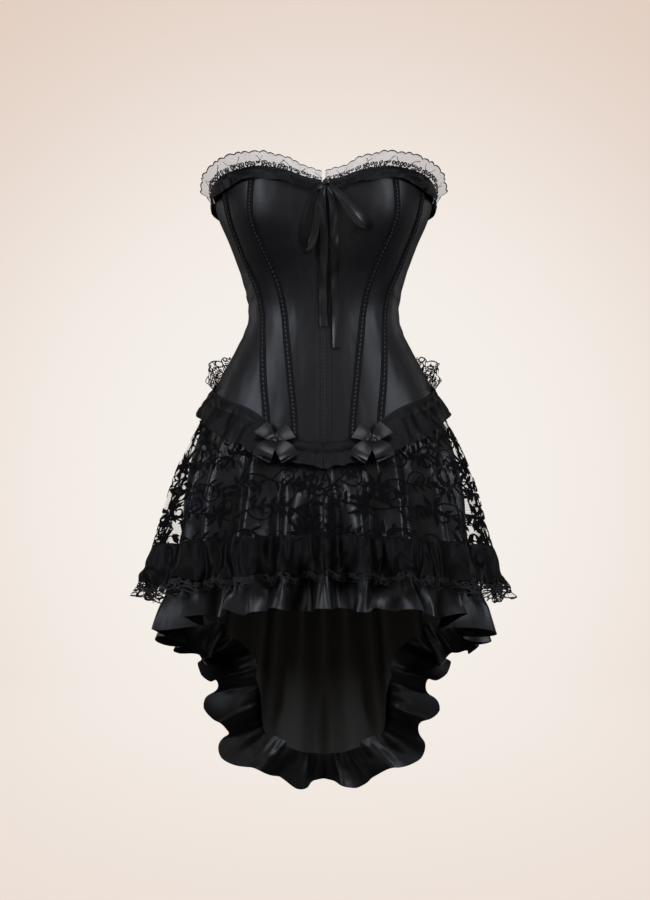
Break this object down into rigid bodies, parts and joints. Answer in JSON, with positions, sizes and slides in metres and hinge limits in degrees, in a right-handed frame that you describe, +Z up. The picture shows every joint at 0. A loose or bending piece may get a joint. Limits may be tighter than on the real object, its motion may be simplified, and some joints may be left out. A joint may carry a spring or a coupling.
{
  "type": "corset dress",
  "caption": "Strapless corset dress: a boned bodice with a pointed hem frill, a flocked net overskirt and a ruffled satin skirt, short in front and long behind.",
  "frame": {"origin": "centre of the waist, where the wearer holds the dress", "axes": "+Z up the wearer's body, the front faces -Y, the wearer's left is +X"},
  "size_m": [0.5402, 0.4179, 0.9186],
  "materials": {
    "panel_satin": "black satin, soft sheen",
    "skirt_satin": "black satin, brighter sheen",
    "ribbon_satin": "black satin ribbon",
    "braid": "matt black tape",
    "chiffon": "fine black chiffon",
    "flocked_net": "black net with flocked scrolls",
    "lace": "sheer black net lace"
  },
  "bodies": {
    "root": {"corset_front_left": "panel_satin", "corset_front_right": "panel_satin", "corset_side_front_left": "panel_satin", "corset_side_front_right": "panel_satin", "corset_side_left": "panel_satin", "corset_side_right": "panel_satin", "corset_side_back_left": "panel_satin", "corset_side_back_right": "panel_satin", "corset_back_left": "panel_satin", "corset_back_right": "panel_satin", "tape_princess_left": "braid", "tape_princess_right": "braid", "tape_side_front_left": "braid", "tape_side_front_right": "braid", "tape_side_back_left": "braid", "tape_side_back_right": "braid", "placket_front_left": "braid", "placket_front_right": "braid", "neck_frill_left": "chiffon", "neck_frill_right": "chiffon", "neck_lace_left": "lace", "neck_lace_right": "lace", "hip_frill_left": "chiffon", "hip_frill_right": "chiffon", "hip_lace_left": "lace", "hip_lace_right": "lace", "satin_skirt_side_left": "skirt_satin", "satin_skirt_side_right": "skirt_satin", "net_overskirt_side_left": "flocked_net", "net_overskirt_side_right": "flocked_net", "satin_ruffle_left": "skirt_satin", "satin_ruffle_right": "skirt_satin", "net_frill_left": "chiffon", "net_frill_right": "chiffon", "net_lace_left": "lace", "net_lace_right": "lace", "hip_bow_left": "ribbon_satin", "hip_bow_right": "ribbon_satin", "tape_centre_back": "braid", "satin_skirt_front": "skirt_satin", "satin_skirt_back": "skirt_satin", "net_overskirt_front": "flocked_net", "net_overskirt_back": "flocked_net", "front_bow": "ribbon_satin"}
  },
  "joints": []
}
